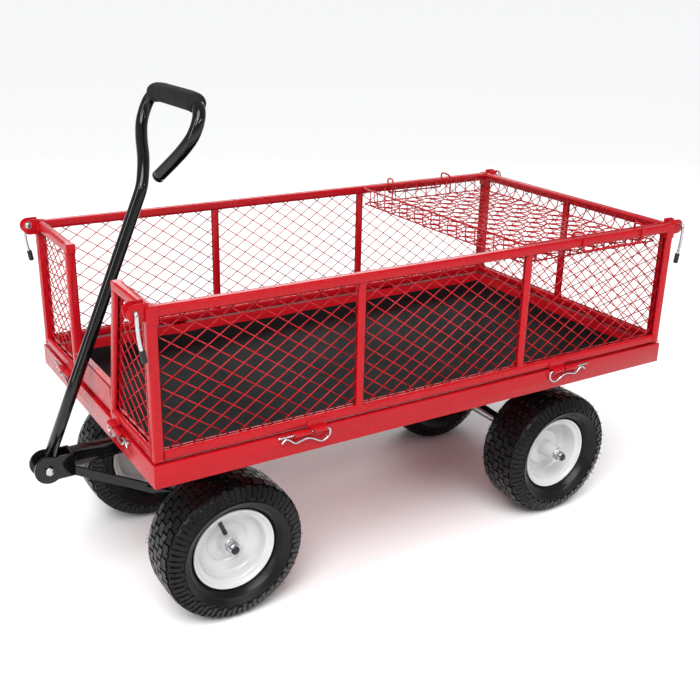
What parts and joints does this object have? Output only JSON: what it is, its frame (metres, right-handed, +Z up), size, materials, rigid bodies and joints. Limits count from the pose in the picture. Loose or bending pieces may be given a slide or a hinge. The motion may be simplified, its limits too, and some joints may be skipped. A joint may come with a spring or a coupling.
{
  "type": "garden cart",
  "caption": "Steel garden cart with fold-down mesh panels, a lift-off wire basket, pneumatic wheels, a steered front axle and a looped pull handle.",
  "frame": {"origin": "on the ground under the middle of the whole cart's box", "axes": "+X runs from the handle end to the rear end, +Y to the left of somebody who stands at the handle and looks along +X at the cart, +Z up"},
  "size_m": [1.486, 0.7334, 1.0584],
  "materials": {
    "red_powder_coat": "gloss red powder coat on steel",
    "tray_liner": "satin black sheet, slightly wrinkled",
    "black_gloss_steel": "gloss black paint on steel",
    "zinc_steel": "bright zinc plate",
    "black_plastic": "moulded black plastic",
    "foam_grip": "matt closed-cell foam",
    "tyre_rubber": "matt rubber with moulded tread",
    "valve_rubber": "smooth rubber",
    "white_rim": "gloss white enamel on pressed steel"
  },
  "bodies": {
    "root": {"bed_frame": "red_powder_coat", "deck_sheet": "red_powder_coat", "bed_liner": "tray_liner", "front_bolster": "black_gloss_steel", "rear_axle_carrier": "black_gloss_steel", "kingpin_bolt": "zinc_steel", "rear_axle": "zinc_steel", "rear_left_axle_nut": "zinc_steel", "rear_right_axle_nut": "zinc_steel", "front_frame": "red_powder_coat", "front_left_mesh": "red_powder_coat", "front_right_mesh": "red_powder_coat", "front_left_latch_screw": "zinc_steel", "front_right_latch_screw": "zinc_steel", "left_front_clip": "zinc_steel", "front_panel_left_clip": "zinc_steel", "left_rear_clip": "zinc_steel", "rear_panel_left_clip": "zinc_steel", "right_front_clip": "zinc_steel", "front_panel_right_clip": "zinc_steel", "right_rear_clip": "zinc_steel", "rear_panel_right_clip": "zinc_steel"},
    "steering": {"front_yoke": "black_gloss_steel", "drawbar": "black_gloss_steel", "front_axle": "zinc_steel", "front_left_axle_nut": "zinc_steel", "front_right_axle_nut": "zinc_steel", "handle_bolt": "zinc_steel"},
    "handle": {"handle_tube": "black_gloss_steel", "handle_grip": "foam_grip", "handle_end_cap": "black_plastic"},
    "rear_panel": {"rear_frame": "red_powder_coat", "rear_mesh": "red_powder_coat", "rear_left_latch_screw": "zinc_steel", "rear_right_latch_screw": "zinc_steel"},
    "basket": {"basket": "red_powder_coat"},
    "front_left_wheel": {"front_left_tyre": "tyre_rubber", "front_left_rim": "white_rim", "front_left_valve": "valve_rubber", "front_left_bearing": "zinc_steel"},
    "front_right_wheel": {"front_right_tyre": "tyre_rubber", "front_right_rim": "white_rim", "front_right_valve": "valve_rubber", "front_right_bearing": "zinc_steel"},
    "rear_left_wheel": {"rear_left_tyre": "tyre_rubber", "rear_left_rim": "white_rim", "rear_left_valve": "valve_rubber", "rear_left_bearing": "zinc_steel"},
    "rear_right_wheel": {"rear_right_tyre": "tyre_rubber", "rear_right_rim": "white_rim", "rear_right_valve": "valve_rubber", "rear_right_bearing": "zinc_steel"},
    "left_panel": {"left_side_frame": "red_powder_coat", "left_side_mesh": "red_powder_coat"},
    "left_front_latch": {"left_front_latch_lever": "zinc_steel"},
    "left_rear_latch": {"left_rear_latch_lever": "zinc_steel"},
    "right_panel": {"right_side_frame": "red_powder_coat", "right_side_mesh": "red_powder_coat"},
    "right_front_latch": {"right_front_latch_lever": "zinc_steel"},
    "right_rear_latch": {"right_rear_latch_lever": "zinc_steel"}
  },
  "joints": [
    {"name": "steering_swivel", "type": "hinge", "parent": "root", "child": "steering", "pos_m": [-0.4175, 0, 0.336], "axis": [0, 0, 1], "range_deg": [-20, 20]},
    {"name": "handle_pivot", "type": "hinge", "parent": "steering", "child": "handle", "pos_m": [-0.713, 0, 0.297], "axis": [0, -1, 0], "range_deg": [0, 128]},
    {"name": "front_left_wheel_spin", "type": "hinge", "parent": "steering", "child": "front_left_wheel", "pos_m": [-0.4175, 0.24, 0.157], "axis": [0, 1, 0], "continuous": true},
    {"name": "front_right_wheel_spin", "type": "hinge", "parent": "steering", "child": "front_right_wheel", "pos_m": [-0.4175, -0.24, 0.157], "axis": [0, 1, 0], "continuous": true},
    {"name": "rear_left_wheel_spin", "type": "hinge", "parent": "root", "child": "rear_left_wheel", "pos_m": [0.4675, 0.24, 0.157], "axis": [0, 1, 0], "continuous": true},
    {"name": "rear_right_wheel_spin", "type": "hinge", "parent": "root", "child": "rear_right_wheel", "pos_m": [0.4675, -0.24, 0.157], "axis": [0, 1, 0], "continuous": true},
    {"name": "left_panel_fold", "type": "hinge", "parent": "root", "child": "left_panel", "pos_m": [0.053, 0.3612, 0.43], "axis": [-1, 0, 0], "range_deg": [0, 180]},
    {"name": "left_front_latch_turn", "type": "hinge", "parent": "left_panel", "child": "left_front_latch", "pos_m": [-0.624, 0.3512, 0.73], "axis": [0, 1, 0], "range_deg": [0, 110]},
    {"name": "left_rear_latch_turn", "type": "hinge", "parent": "left_panel", "child": "left_rear_latch", "pos_m": [0.73, 0.3512, 0.73], "axis": [0, -1, 0], "range_deg": [0, 110]},
    {"name": "right_panel_fold", "type": "hinge", "parent": "root", "child": "right_panel", "pos_m": [0.053, -0.3612, 0.43], "axis": [1, 0, 0], "range_deg": [0, 180]},
    {"name": "right_front_latch_turn", "type": "hinge", "parent": "right_panel", "child": "right_front_latch", "pos_m": [-0.624, -0.3512, 0.73], "axis": [0, 1, 0], "range_deg": [0, 110]},
    {"name": "right_rear_latch_turn", "type": "hinge", "parent": "right_panel", "child": "right_rear_latch", "pos_m": [0.73, -0.3512, 0.73], "axis": [0, -1, 0], "range_deg": [0, 110]},
    {"name": "rear_panel_fold", "type": "hinge", "parent": "root", "child": "rear_panel", "pos_m": [0.7192, 0, 0.43], "axis": [0, 1, 0], "range_deg": [0, 180]},
    {"name": "basket_lift", "type": "slide", "parent": "root", "child": "basket", "axis": [0, 0, 1], "range_m": [0, 0.25]}
  ]
}
